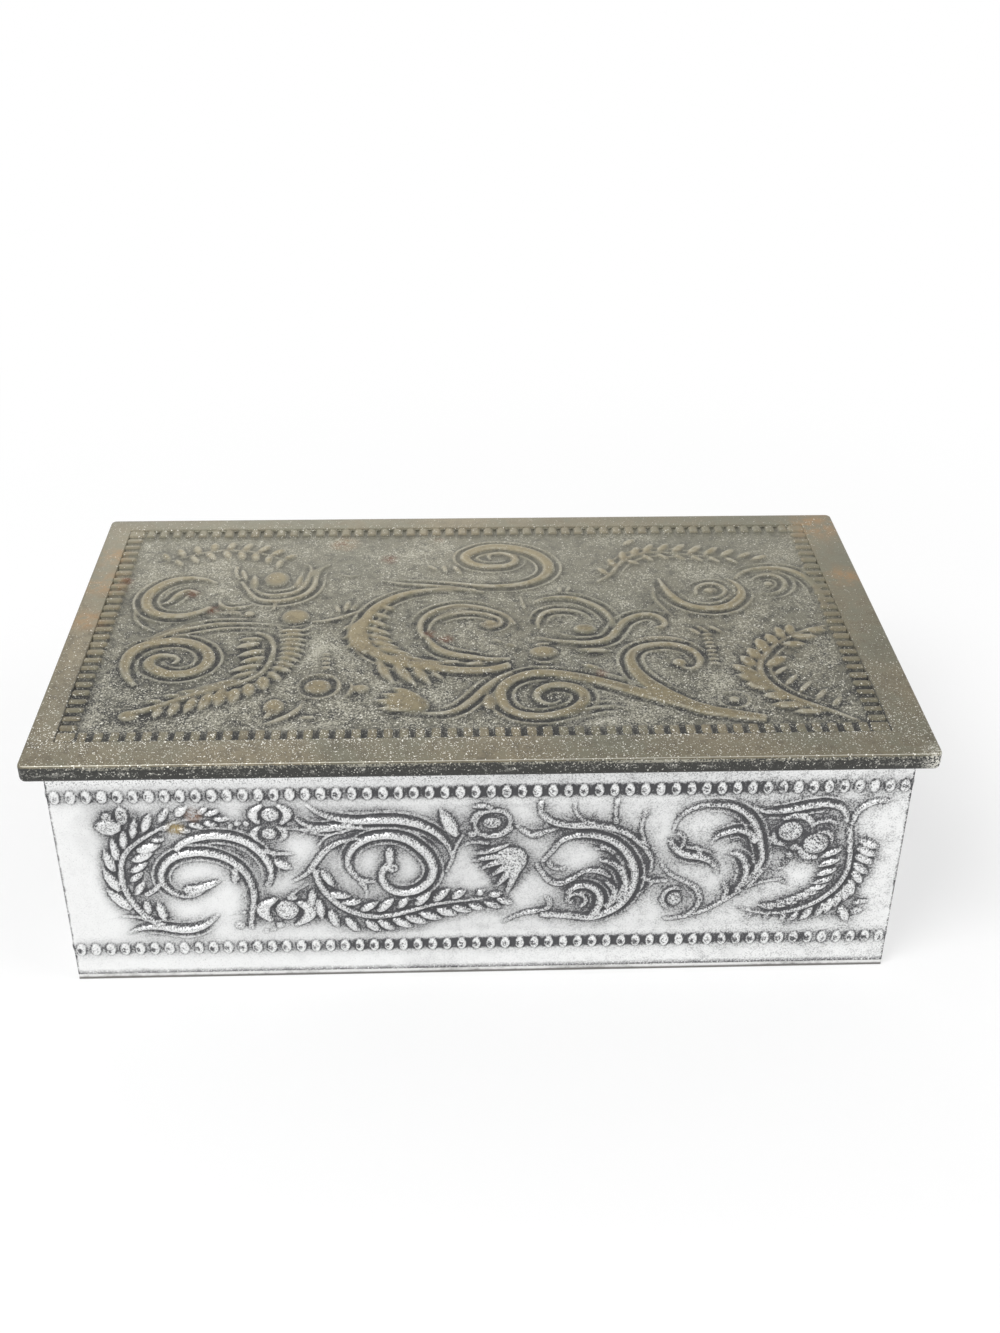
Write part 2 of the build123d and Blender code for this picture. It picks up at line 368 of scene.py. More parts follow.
# how both drawings are cut into a die: widths and stations are shares, the rest is in mm or a count
cutting = {
    "besideFrom": 18,
    "besidePoints": 5,
    "besideWidths": (0.4, 1, 1, 0.4),
    "leafStations": (0, 0.3, 0.65, 1),
    "leafWidths": (0.45, 1, 0.92, 0.22),
    "strokeSides": 3,
    "strokeSteps": 5,
    "ballSides": (20, 12),
    "ballHeight": 0.62,
    "ballSunk": 0.03,
    "fullBall": 20,
    "beadSides": (16, 10),
    "bevelSteps": 3,
    "ground": 400,
}

# how a sheet is pressed over its die
pressing = {
    "start": 5,
    "softenings": 2,
    "blurs": 3,
    "blurShare": 1.7,
    "raisedGain": 3,
    "raisedFrom": 0.2,
    "edgeGain": 9,
    "sharpFrom": 78,
}
hair = 0.01  # mm: what lies closer than this is in the same place

# shades are (how far they reach from the relief, how strong they are), and a front or end is (half its length,
# how far out its face stands); the shift brings the left half of the drawing onto an end
wallRows = {"heights": (5.0, 28.9), "pitch": 1.85, "length": 1.22, "width": 2.04, "rise": 0.47}
wall = {
    "foot": 0.8,
    "top": 34.1,
    "thickness": 1.0,
    "cell": 0.192,
    "dip": 0.2,
    "dipReach": 1.6,
    "crown": 0.6,
    "shades": {"halo": (1.6, 2.7), "hollow": (3.2, 1.7), "crease": (0.3, 2.6)},
    "notchEnd": 47.3,
    "notchFloor": 31.2,
    "front": (51.8, 29.3),
    "end": (29.3, 51.8),
    "endShift": 21.5,
}


def only(*pieces):  # select these and nothing else
    bpy.ops.object.select_all(action="DESELECT")
    for piece in pieces:
        piece.select_set(True)
    bpy.context.view_layer.objects.active = pieces[0]


def settle(piece):  # write the object's place into its mesh
    only(piece)
    bpy.ops.object.transform_apply(location=True, rotation=True, scale=True)


def smooth(piece, angle):  # edges sharper than the angle stay sharp
    only(piece)
    bpy.ops.object.shade_smooth_by_angle(angle=math.radians(angle))


def addModifier(piece, kind, **settings):
    only(piece)
    modifier = piece.modifiers.new(kind.lower(), kind)
    for name, value in settings.items():
        setattr(modifier, name, value)
    bpy.ops.object.modifier_apply(modifier=modifier.name)


def dress(piece, surface):
    piece.data.materials.clear()
    piece.data.materials.append(surface)


def drawn(ornament, u, v, shift):  # place of a point of the drawing, in metres
    size = mm / ornament["unitsPerMm"]
    share = u / ornament["middle"][0] / 2
    u -= ornament["bow"] * 4 * share * (1 - share)
    return (u - ornament["middle"][0]) * size + shift * mm, (ornament["middle"][1] - v) * size


def widthAt(widths, share):
    return float(np.interp(share, np.linspace(0, 1, len(widths)), widths))


def beside(points, widths, gap):  # a line along one side of a stroke, past its edge
    moved = []
    last = len(points) - 1
    for index, (u, v) in enumerate(points):
        before, after = points[max(index - 1, 0)], points[min(index + 1, last)]
        ahead = Vector((after[0] - before[0], after[1] - before[1])).normalized()
        reach = math.copysign(abs(gap) + widthAt(widths, index / last) / 2, gap)
        moved.append((u - ahead.y * reach, v + ahead.x * reach))
    return moved


def allStrokes(ornament):  # the drawn strokes, the lines along the broad ones, and the leaves
    strokes = [(widths, list(zip(flat[::2], flat[1::2]))) for widths, flat in ornament["strokes"]]
    gap = ornament["besideGap"]
    thin = [ornament["besideWidth"] * share for share in cutting["besideWidths"]]
    for widths, points in list(strokes):
        if max(widths) >= cutting["besideFrom"] and len(points) >= cutting["besidePoints"]:
            strokes += [(thin, beside(points, widths, side)) for side in (gap, -gap)]
    for footU, footV, tipU, tipV, width in ornament["leaves"]:
        width *= ornament["leafFullness"]
        points = [(footU + share * (tipU - footU), footV + share * (tipV - footV))
                  for share in cutting["leafStations"]]
        strokes.append(([width * share for share in cutting["leafWidths"]], points))
    return strokes


def layStrokes(ornament, shift, inside):
    line = bpy.data.curves.new("strokes", "CURVE")
    line.dimensions = "3D"
    line.bevel_depth = 1
    line.bevel_resolution = cutting["strokeSides"]
    line.resolution_u = cutting["strokeSteps"]
    line.use_fill_caps = True
    size = mm / ornament["unitsPerMm"]
    for widths, points in allStrokes(ornament):
        if not all(inside[0] <= u <= inside[1] for u, v in points):
            continue
        spline = line.splines.new("BEZIER")
        last = len(points) - 1
        spline.bezier_points.add(last)
        for index, ((u, v), bend) in enumerate(zip(points, spline.bezier_points)):
            bend.co = (*drawn(ornament, u, v, shift), 0)
            bend.radius = widthAt(widths, index / last) / 2 * size
            bend.handle_left_type = bend.handle_right_type = "AUTO"
    lines = bpy.data.objects.new("strokes", line)
    bpy.context.collection.objects.link(lines)
    only(lines)
    bpy.ops.object.convert(target="MESH")
    lines.scale = (1, 1, ornament["swell"])
    lines.location.z = -ornament["sunk"] * mm
    settle(lines)
    return lines


def layBalls(ornament, shift, inside):
    size = mm / ornament["unitsPerMm"]
    around, up = cutting["ballSides"]
    bpy.ops.mesh.primitive_uv_sphere_add(segments=around, ring_count=up, radius=1)
    first = bpy.context.object
    balls = []
    for u, v, halfWidth, halfHeight in ornament["balls"]:
        if inside[0] <= u <= inside[1]:
            ball = first.copy()
            ball.data = first.data.copy()
            bpy.context.collection.objects.link(ball)
            ball.location = (*drawn(ornament, u, v, shift), -cutting["ballSunk"] * mm)
            share = min(1, (min(halfWidth, halfHeight) / cutting["fullBall"]) ** 0.5)
            ball.scale = (halfWidth * size, halfHeight * size, cutting["ballHeight"] * mm * share)
            settle(ball)
            balls.append(ball)
    bpy.data.objects.remove(first)
    return balls


def layBeadRow(start, count, step, size, rounding=0):  # one bead every step: round, or a rounded block
    place = (start[0] * mm, start[1] * mm, 0)
    if rounding:
        bpy.ops.mesh.primitive_cube_add(size=2, location=place)
    else:
        around, up = cutting["beadSides"]
        bpy.ops.mesh.primitive_uv_sphere_add(segments=around, ring_count=up, radius=1, location=place)
    row = bpy.context.object
    row.scale = (size[0] / 2 * mm, size[1] / 2 * mm, size[2] * mm)
    settle(row)
    if rounding:
        addModifier(row, "BEVEL", width=rounding * mm, segments=cutting["bevelSteps"])
    jump = (step[0] * mm, step[1] * mm, 0)
    addModifier(row, "ARRAY", count=count, use_relative_offset=False, use_constant_offset=True,
                constant_offset_displace=jump)
    return row


def joinDie(parts):
    bpy.ops.mesh.primitive_plane_add(size=cutting["ground"] * mm)
    ground = bpy.context.object
    only(ground, *parts)
    bpy.ops.object.join()
    return ground


def blurred(field, reach):
    for index in range(pressing["blurs"]):
        for axis in (0, 1):
            wide = np.pad(field, [(reach + 1, reach) if axis == side else (0, 0) for side in (0, 1)], mode="edge")
            total = wide.cumsum(axis=axis)
            high = np.take(total, range(2 * reach + 1, total.shape[axis]), axis=axis)
            low = np.take(total, range(0, total.shape[axis] - 2 * reach - 1), axis=axis)
            field = (high - low) / (2 * reach + 1)
    return field


def pressSheet(name, low, high, cells, die, look):  # a flat grid pressed over a die, facing up
    middle = ((low[0] + high[0]) / 2 * mm, (low[1] + high[1]) / 2 * mm, pressing["start"] * mm)
    bpy.ops.mesh.primitive_grid_add(x_subdivisions=cells[0], y_subdivisions=cells[1], size=1, location=middle)
    sheet = bpy.context.object
    sheet.name = name
    sheet.scale = ((high[0] - low[0]) * mm, (high[1] - low[1]) * mm, 1)
    settle(sheet)
    addModifier(sheet, "SHRINKWRAP", target=die, wrap_method="PROJECT", use_project_z=True,
                use_negative_direction=True, use_positive_direction=False)
    addModifier(sheet, "SMOOTH", factor=0.5, iterations=pressing["softenings"],
                use_x=False, use_y=False, use_z=True)
    bpy.data.objects.remove(die)
    places = np.zeros(len(sheet.data.vertices) * 3)
    sheet.data.vertices.foreach_get("co", places)
    places = places.reshape(-1, 3)
    height = places[:, 2].reshape(cells[1] + 1, -1) / mm
    height = look["crown"] * np.tanh(height / look["crown"])  # tops worn down
    cell = (high[0] - low[0]) / cells[0]

    def spread(field, distance):
        return blurred(field, max(1, round(distance / cell / pressing["blurShare"])))

    places[:, 2] = (height - look["dip"] * spread(height, look["dipReach"])).ravel() * mm
    sheet.data.vertices.foreach_set("co", places.ravel())
    edge = np.clip((height - blurred(height, 1)) * pressing["edgeGain"], 0, 1)
    marks = {"rise": height / height.max(), "edge": edge}
    raised = np.clip(height / look["crown"] * pressing["raisedGain"] - pressing["raisedFrom"], 0, 1)
    for label, (distance, gain) in look["shades"].items():
        marks[label] = np.clip(spread(raised, distance) * gain, 0, 1) * (1 - raised)
    for label, values in marks.items():
        layer = sheet.data.attributes.new(label, "FLOAT", "POINT")
        layer.data.foreach_set("value", values.ravel())
    return sheet


def pickVertices(piece, test):  # in edit mode, select the vertices whose place in mm passes the test
    shape = bmesh.from_edit_mesh(piece.data)
    for vertex in shape.verts:
        vertex.select_set(bool(test(vertex.co / mm)))
    shape.select_flush_mode()
    bmesh.update_edit_mesh(piece.data)


def pickEdges(piece, test):  # the same for edges: the test sees the edge and both its ends in mm
    bpy.ops.mesh.select_mode(type="EDGE")
    shape = bmesh.from_edit_mesh(piece.data)
    for line in shape.edges:
        line.select_set(bool(test(line, line.verts[0].co / mm, line.verts[1].co / mm)))
    bmesh.update_edit_mesh(piece.data)


def pullRim(drop):  # in edit mode, pull the rim of an open sheet down into sides
    bpy.ops.mesh.select_mode(type="EDGE")
    bpy.ops.mesh.select_all(action="SELECT")
    bpy.ops.mesh.region_to_loop()
    bpy.ops.mesh.extrude_region_move(TRANSFORM_OT_translate={"value": (0, 0, -drop * mm)})
    bpy.ops.mesh.select_mode(type="VERT")


def fillRim():  # close the selected rim with one face and leave edit mode
    bpy.ops.mesh.edge_face_add()
    bpy.ops.mesh.select_all(action="SELECT")
    bpy.ops.mesh.normals_make_consistent(inside=False)
    bpy.ops.object.mode_set(mode="OBJECT")


def closeWall(sheet, half, notch):  # turn the pressed face into a closed plate with mitred ends
    only(sheet)
    bpy.ops.object.mode_set(mode="EDIT")
    bpy.ops.mesh.select_mode(type="VERT")
    if notch:  # the sheet ends at the notch's floor, and its two ends are drawn up beside the notch
        for side in (-1, 1):
            bpy.ops.mesh.select_all(action="SELECT")
            bpy.ops.mesh.bisect(plane_co=(side * wall["notchEnd"] * mm, 0, 0), plane_no=(1, 0, 0))
        low, far = wall["notchFloor"] - hair, wall["notchEnd"] - hair

        def besideNotch(line, *ends):
            return line.is_boundary and all(end.y > low and abs(end.x) > far for end in ends)

        pickEdges(sheet, besideNotch)
        lift = (wall["top"] - wall["notchFloor"]) * mm
        bpy.ops.mesh.extrude_region_move(TRANSFORM_OT_translate={"value": (0, lift, 0)})
    pullRim(wall["thickness"])
    inner = -wall["thickness"] * 0.9  # only the pulled-down rim lies beyond this
    for side in (-1, 1):
        pickVertices(sheet, lambda spot: spot.z < inner and spot.x * side > half - 5 * hair)
        bpy.ops.transform.translate(value=(-side * wall["thickness"] * mm, 0, 0))
    pickVertices(sheet, lambda spot: spot.z < inner)
    fillRim()
    smooth(sheet, pressing["sharpFrom"])


def makeWall(name, node, size, turn, shift, inside, notch=False):
    half, depth = size
    count = round(2 * half / wallRows["pitch"])
    step = 2 * half / count
    bead = (wallRows["length"], wallRows["width"], wallRows["rise"])
    parts = [layStrokes(wallOrnament, shift, inside)] + layBalls(wallOrnament, shift, inside)
    parts += [layBeadRow((-half + step / 2, height), count, (step, 0), bead) for height in wallRows["heights"]]
    top = wall["notchFloor"] if notch else wall["top"]
    cells = (round(2 * half / wall["cell"]), round((top - wall["foot"]) / wall["cell"]))
    sheet = pressSheet(name, (-half, wall["foot"]), (half, top), cells, joinDie(parts), wall)
    closeWall(sheet, half, notch)
    sheet.rotation_euler = (math.pi / 2, 0, turn)
    sheet.location = Vector((math.sin(turn) * depth, -math.cos(turn) * depth, 0)) * mm
    settle(sheet)
    dress(sheet, wallFinish(name + "Silver", turn, half, depth))
    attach(sheet, "box")
    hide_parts(node)


silver = {
    "bright": (0.93, 0.935, 0.93, 1),
    "patina": (0.085, 0.085, 0.09, 1),
    "rustSpots": (((-34.8, -29.4, 26.1), 1.5, (0.27, 0.125, 0.05, 1)),
                  ((-37.1, -29.4, 24.0), 1.5, (0.42, 0.31, 0.12, 1))),
    "noises": ((0.12, 3, 0), (0.8, 4, 2, 0.6), (4.5, 3, 4, 0.65), (9.0, 2, 6)),
}


def wallFinish(name, turn, half, depth):
    finish, wire = newFinish(name)
    place = placeInMm(wire)
    sockets = {"Vector": place, "Rotation": (0, 0, -turn)}
    facing = wire.make("ShaderNodeMapping", {"vector_type": "POINT"}, sockets)  # as if it were the front
    along, height = facing.axis(0), facing.axis(2)
    outside = facing.axis(1).step(0.5 - depth, 0.2 - depth)
    rise, halo, hollow, crease, edge = attributes(wire, "rise", "halo", "hollow", "crease", "edge")
    cloud, mottle, grain, fine = noises(place, silver["noises"], turn)
    speck = grain * 0.6 + fine * 0.4
    worn = (along + cloud * 60).step(10, 85) * outside  # greyer towards one end
    middle = abs(along - 8 + (cloud - 0.5) * 30).step(46, 6)  # darkest a little right of the middle
    scrolls = height.step(6.6, 7.4) * height.step(27.4, 26.6)  # between the bead rows
    layers = [
        # dirt beside the relief, from the closest to the widest; the widest, in the hollows inside the scrolls,
        # is patina and painted shade
        crease.step(0.1, 0.95) * (0.2 + mottle * 0.35 + grain.step(0.4, 0.6) * 0.35),
        halo.step(0.06, 1.0) * (0.12 + mottle * 0.45 + speck.step(0.42, 0.58) * 0.4) * (0.8 + scrolls * 0.25),
        scrolls * hollow.step(0.3, 0.95) * (0.08 + mottle * 0.4),
        # its sides and its tops
        scrolls * rise.step(0.08, 0.3) * rise.step(0.85, 0.55) * (0.1 + grain.step(0.42, 0.6) * 0.3),
        rise.step(0.25, 0.6) * grain.step(0.46, 0.62) * 0.7 * (1 - edge * 0.4),
        # the ground, the middle, and the strip above the rows, whose dark specks and smooth band are partly
        # painted shade under the lid's overhang
        fine.step(0.63, 0.71) * 0.45,
        (0.1 + worn * 0.5) * (grain * 0.6 + mottle * 0.4).step(0.46, 0.64) * 0.85,
        cloud.step(0.55, 0.72) * 0.15,
        middle * (scrolls * (0.04 + mottle * 0.2) + height.step(30.0, 31.0) * 0.14),
        height.step(30.0, 31.4) * (1 - worn) * speck.step(0.51, 0.58) * 0.7,
        # the foot and both corners
        outside * (height + mottle * 1.2).step(2.3, 1.3) * grain.step(0.3, 0.5) * 0.9,
        outside * (abs(along) + mottle * 0.7).step(half + 0.05, half + 0.3) * grain.step(0.35, 0.5) * 0.8,
    ]
    for row in wallRows["heights"]:  # dirt between the beads, and a dark dot left of the middle of each
        cell = ((along + half) / wallRows["pitch"]).part() - 0.4
        drop = height - row
        gap = cell * cell * 3.6 + drop * drop * 0.7
        layers += [
            abs(drop).step(1.1, 0.6) * rise.step(0.45, 0.15) * ((mottle - 0.36).most(0) * 0.9 + middle * 0.5),
            outside * gap.step(0.18, 0.02) * (mottle + grain * 0.6).step(0.66, 0.84) * 0.85,
        ]
    tarnish = sum(layers).clamp()
    colour = tarnish.mix(silver["bright"], silver["patina"])
    for spot, reach, tint in silver["rustSpots"]:
        colour = (place.near(spot, reach) * (mottle + grain * 0.5).step(0.55, 0.85)).mix(colour, tint)
    closeFinish(wire, {
        "Base Color": colour,
        "Metallic": 1 - tarnish * 0.5,
        "Roughness": 0.3 + tarnish * 0.3,
        "Normal": bump(wire, fine * 0.35 + grain * 0.5 + mottle * 0.7, 0.05),
    })
    return finish


# scroll ornament of the lid, drawn as the walls' is
lidStrokes = [
    # left laurel and its spiral
    ((26, 20, 18, 16), (212,958, 258,936, 301,908, 362,872, 419,846, 455,824, 484,795, 500,752, 506,707,
        503,667, 487,627, 455,604)),
    ((18, 34, 32, 30, 34, 36, 22, 14), (198,842, 172,798, 160,742, 166,698, 190,664, 232,646, 280,644, 322,664,
        350,702, 354,745, 330,782, 280,796, 240,778, 216,745, 228,716, 258,710, 282,728, 270,750)),
    ((8, 16, 12), (345,535, 308,560, 265,580, 222,604, 190,640)),
    ((10, 18, 20), (520,572, 460,562, 400,560, 350,564, 300,580, 250,602, 205,640)),
    ((8, 16, 12), (505,592, 450,584, 390,582, 335,594, 285,610, 240,632)),
    ((8, 12, 8), (468,610, 420,604, 370,610, 330,622)),
    # upper left ring, cup and fork
    ((14, 30, 32, 30, 22), (330,352, 290,330, 246,328, 208,345, 180,378, 164,420, 166,462, 186,500, 222,520,
        262,522, 300,506, 330,480)),
    ((10, 24, 16), (196,467, 222,447, 240,413, 261,393, 290,406)),
    ((8, 16, 10), (140,470, 150,530, 180,575, 215,598)),
    ((12, 20, 20, 14), (616,256, 596,278, 585,315, 583,358, 573,398, 552,428, 520,446, 487,452, 454,446,
        428,420, 408,380, 392,345)),
    ((10, 18, 18, 10), (548,250, 566,270, 566,313, 557,366, 540,400, 508,416, 477,420, 450,410, 425,380,
        414,340)),
    ((16, 12), (372,262, 374,300, 388,335)),
    ((12, 14), (490,452, 488,492)),
    ((10, 22, 18, 10), (345,438, 356,470, 372,484, 405,480, 438,466)),
    ((10, 16, 8), (362,500, 395,505, 420,528)),
    ((8, 14, 14, 8), (150,250, 205,222, 260,192, 315,172, 388,178, 440,196, 490,228, 540,268)),
    ((8, 14, 8), (640,302, 668,322, 702,312)),
    # arcs and rings round the left balls
    ((10, 18, 10), (502,572, 522,596, 548,602, 578,590, 594,566)),
    ((10, 12, 14, 12, 10), (576,850, 584,822, 606,804, 640,804, 664,824, 672,856, 660,888, 630,904, 596,896,
        580,872, 576,850)),
    ((8, 18, 8), (676,912, 702,870, 690,822)),
    ((12, 18, 12), (588,556, 632,548, 676,526, 712,498)),
    ((8, 26, 8), (500,1012, 545,990, 580,955, 594,915)),
    # middle acanthus with its inner scroll
    ((14, 28, 34, 34, 28), (1020,414, 953,402, 903,400, 856,408, 812,426, 772,458, 740,500, 722,552, 714,610,
        722,660, 746,706, 785,740, 830,762, 880,776, 930,788, 980,794, 1034,788, 1072,770)),
    ((30, 54, 40), (722,545, 704,600, 710,660, 738,705)),
    ((10, 20, 16), (752,345, 800,364, 870,378, 930,388, 1000,405)),
    ((18, 22, 20, 14), (866,640, 856,592, 862,555, 882,521, 913,497, 952,484, 995,490, 1034,508, 1070,536,
        1092,580)),
    ((12, 18, 18, 12), (876,608, 890,562, 914,540, 951,523, 1000,522, 1036,538, 1056,562, 1046,588, 1016,588,
        1006,568)),
    ((14, 28, 26, 16), (868,625, 882,662, 902,697, 932,718, 975,732, 1026,744, 1072,742)),
    ((8, 14, 8), (905,650, 932,682, 972,702, 1010,710)),
    ((14, 30, 12), (758,735, 772,790, 798,845)),
    ((14, 32, 12), (796,745, 818,800, 850,858)),
    ((14, 30, 12), (842,762, 860,808, 884,852)),
    ((10, 20, 8), (882,780, 898,812, 918,838)),
    # upper middle volute
    ((12, 20, 26, 36, 36, 32, 26, 22, 12), (850,345, 905,358, 960,370, 1010,382, 1053,386, 1105,380, 1150,360,
        1182,325, 1192,288, 1182,243, 1147,200, 1098,176, 1042,170, 1001,188, 974,222, 982,252, 1006,272,
        1052,280, 1092,268, 1106,242, 1090,215, 1058,204, 1036,218, 1040,238)),
    # ring right of the middle
    ((14, 24, 24, 14), (1142,470, 1178,452, 1238,452, 1284,480, 1316,520, 1333,572, 1336,600)),
    ((12, 20, 20, 12), (1148,600, 1150,560, 1172,522, 1219,512, 1262,530, 1282,562)),
    ((12, 26, 24, 18), (1140,640, 1180,658, 1222,668, 1275,672, 1316,655, 1342,612, 1362,574, 1393,548,
        1430,540, 1458,562, 1460,594, 1438,606)),
    ((10, 16, 8), (1180,610, 1215,636, 1262,644, 1300,630)),
    ((12, 14), (1110,440, 1118,500)),
    ((8, 16, 8), (1118,742, 1155,760, 1195,738)),
    ((8, 16, 8), (1112,768, 1150,784, 1190,776)),
    # low volute in the middle, with its tail
    ((28, 44, 36, 32, 30, 28, 30, 32, 26, 20, 12), (1640,1015, 1560,992, 1455,942, 1370,900, 1290,855, 1212,822,
        1142,808, 1088,826, 1052,866, 1046,920, 1070,970, 1120,990, 1178,980, 1222,950, 1238,908, 1218,874,
        1178,862, 1144,874, 1128,903, 1138,932, 1162,940, 1184,922)),
    ((22, 18, 8), (1140,992, 1193,984, 1235,966, 1276,954, 1314,954, 1346,970)),
    ((8, 16, 12), (1195,772, 1245,792, 1300,817, 1350,846, 1385,872)),
    # bell flower on its stem
    ((14, 22, 24, 18), (860,970, 900,974, 940,962, 975,925, 1008,875, 1040,832, 1075,803)),
    # right volute and hook
    ((30, 44, 46, 34, 26, 24, 24, 20, 14), (1640,1010, 1564,990, 1510,974, 1450,930, 1410,885, 1376,830,
        1360,775, 1364,730, 1384,702, 1420,686, 1460,684, 1498,700, 1522,732, 1524,770, 1502,796, 1476,786)),
    ((10, 18, 10), (1366,664, 1420,650, 1475,654, 1525,678)),
    # upper right scrolls
    ((12, 26, 26, 32, 26, 14), (1474,350, 1484,400, 1500,450, 1528,490, 1575,512, 1625,506, 1662,474, 1680,430,
        1672,385, 1650,355)),
    ((10, 16, 10), (1456,395, 1452,450, 1466,500, 1492,556)),
    ((14, 20, 12), (1560,440, 1572,398, 1612,384, 1638,412, 1624,448, 1590,458)),
    ((14, 24, 26, 22), (1672,360, 1703,322, 1752,304, 1811,309, 1853,345, 1874,395, 1880,455, 1878,515)),
    ((10, 20, 18, 10), (1712,368, 1738,345, 1775,342, 1800,372, 1790,415, 1755,438, 1722,430)),
    ((14, 18, 14, 8), (1312,367, 1350,330, 1379,273, 1413,232, 1463,208, 1520,210, 1589,226, 1665,238,
        1740,256)),
    # lower right fern
    ((16, 14, 20, 24, 22, 14), (1862,604, 1812,622, 1762,654, 1722,690, 1688,735, 1668,776, 1662,815, 1670,860,
        1690,898, 1718,930, 1754,958, 1790,982, 1830,1012, 1856,1034)),
    ((10, 14, 12), (1560,902, 1546,928, 1556,956, 1588,964, 1612,946, 1612,914, 1590,898, 1560,902)),
]
lidLeaves = [
    (490,808, 500,872, 26), (462,838, 465,897, 26), (433,858, 430,925, 26), (406,858, 396,938, 26),
    (378,875, 360,955, 24), (345,893, 328,966, 22), (308,912, 296,975, 22), (272,932, 262,982, 20),
    (508,602, 582,598, 18), (512,622, 588,620, 18), (514,642, 590,645, 19), (516,662, 590,670, 19),
    (518,682, 588,695, 19), (518,702, 584,720, 19), (516,722, 578,745, 19), (512,744, 570,768, 19),
    (506,766, 562,790, 19), (500,786, 538,832, 20), (476,636, 410,640, 17), (470,655, 408,680, 21),
    (484,690, 418,717, 21), (490,722, 426,748, 21), (486,755, 404,786, 21), (478,785, 410,815, 18),
    (445,822, 368,846, 18), (405,845, 335,862, 16), (360,868, 292,872, 16), (320,888, 262,884, 16),
    (280,912, 225,905, 16), (432,388, 422,302, 17), (538,386, 546,302, 17), (406,346, 384,268, 14),
    (566,330, 590,268, 13), (664,600, 700,560, 14), (668,640, 700,618, 14), (676,680, 708,664, 14),
    (752,480, 800,506, 18), (734,516, 790,548, 18), (905,755, 962,752, 16), (962,766, 1020,756, 16),
    (190,228, 165,180, 18), (225,208, 205,155, 20), (262,192, 250,138, 20), (300,176, 300,122, 20),
    (340,172, 352,118, 20), (380,178, 402,125, 20), (420,188, 452,140, 20), (455,205, 495,165, 20),
    (490,228, 530,195, 18), (205,224, 232,262, 18), (245,202, 270,248, 18), (285,182, 312,232, 20),
    (330,174, 350,225, 20), (372,178, 385,232, 20), (412,188, 420,240, 20), (450,205, 452,255, 18),
    (485,228, 478,278, 18), (655,515, 640,462, 14), (668,508, 676,446, 16), (684,502, 700,462, 14),
    (618,712, 652,712, 13), (618,732, 653,732, 13), (620,752, 654,752, 13), (622,772, 655,772, 13),
    (508,988, 545,928, 16), (585,986, 632,981, 14), (722,552, 786,590, 20), (718,585, 792,628, 20),
    (722,618, 802,662, 20), (730,650, 818,694, 20), (746,684, 850,724, 20), (785,722, 885,750, 18),
    (845,748, 925,764, 18), (870,265, 905,300, 14), (915,265, 922,315, 14), (940,265, 965,330, 14),
    (1030,650, 1062,664, 12), (1062,668, 1100,690, 12), (1018,672, 1050,690, 10), (1212,424, 1214,384, 14),
    (1228,420, 1244,386, 12), (1125,682, 1185,668, 12), (870,925, 790,858, 26), (862,932, 765,885, 26),
    (858,944, 748,914, 26), (862,958, 756,948, 22), (1235,706, 1330,712, 18), (1240,770, 1295,800, 18),
    (1516,604, 1552,650, 14), (1565,593, 1607,637, 14), (1535,590, 1575,640, 12), (1345,330, 1318,285, 18),
    (1368,290, 1352,232, 18), (1392,252, 1396,192, 20), (1420,228, 1442,168, 20), (1452,212, 1484,152, 20),
    (1490,208, 1528,150, 20), (1530,210, 1572,154, 20), (1570,220, 1616,162, 20), (1612,228, 1660,174, 20),
    (1655,236, 1704,188, 20), (1698,245, 1748,206, 18), (1735,254, 1790,228, 18), (1400,250, 1440,278, 16),
    (1445,218, 1478,262, 16), (1485,212, 1520,256, 16), (1530,214, 1562,262, 16), (1575,224, 1610,268, 16),
    (1620,232, 1655,274, 16), (1665,240, 1702,278, 16), (1400,165, 1440,125, 18), (1868,290, 1860,340, 12),
    (1655,835, 1595,775, 26), (1662,862, 1600,822, 26), (1675,890, 1612,862, 26), (1652,790, 1625,738, 26),
    (1668,760, 1650,700, 26), (1690,725, 1680,655, 26), (1722,690, 1705,635, 24), (1745,665, 1735,600, 22),
    (1765,645, 1772,590, 22), (1740,960, 1655,955, 24), (1710,925, 1645,915, 26), (1680,790, 1740,742, 24),
    (1688,832, 1735,785, 15), (1706,880, 1752,818, 15), (1734,908, 1778,850, 15), (1768,940, 1806,884, 15),
    (1800,968, 1834,916, 15), (1735,690, 1800,690, 22), (1765,655, 1835,655, 22), (1800,625, 1865,625, 22),
    (1780,985, 1700,985, 20),
]
lidBalls = [
    (546,530, 37,38), (622,855, 33,32), (528,938, 26,34), (205,968, 26,24), (483,335, 34,42), (430,515, 15,15),
    (1030,574, 20,16), (1262,606, 32,24), (1155,712, 37,27), (847,937, 38,38), (722,866, 22,18),
    (1018,930, 16,34), (1475,768, 18,18), (1597,420, 14,14), (1757,388, 14,14), (1580,931, 14,14),
    *((1560,v, 16,8) for v in range(640, 774, 19)),
]
lidOrnament = {
    "unitsPerMm": 18.52,
    "middle": (1000, 583.4),
    "bow": 0,
    "besideGap": 15,
    "besideWidth": 13,
    "sunk": 0.1,
    "swell": 1.0,
    "leafFullness": 1.3,
    "strokes": lidStrokes,
    "leaves": lidLeaves,
    "balls": lidBalls,
}

lidRows = {"pitch": 1.93, "length": 1.22, "width": 2.25, "rise": 0.62, "rounding": 0.28}
# rounds are (radius, steps), and past is how far a cutting block reaches beyond what it cuts
lid = {
    "half": (54.0, 31.5),
    "top": 35.0,
    "ground": 34.55,
    "foot": 32.6,
    "plateUnder": 34.1,
    "sheet": 0.9,
    "cornerRound": (0.8, 5),
    "edgeRound": (0.3, 4),
    "footRound": (0.6, 4),
    "rimRound": (0.2, 3),
    "shift": (-0.8, 0.9),
    "rowInset": 5.2,
    "rowLap": 0.1,
    "past": 1,
    "fieldThickness": 0.22,
    "cells": (470, 202),
    "dip": 0.12,
    "dipReach": 0.8,
    "crown": 0.47,
    "shades": {"halo": (0.8, 1.9)},
    "sharpFrom": 30,
}


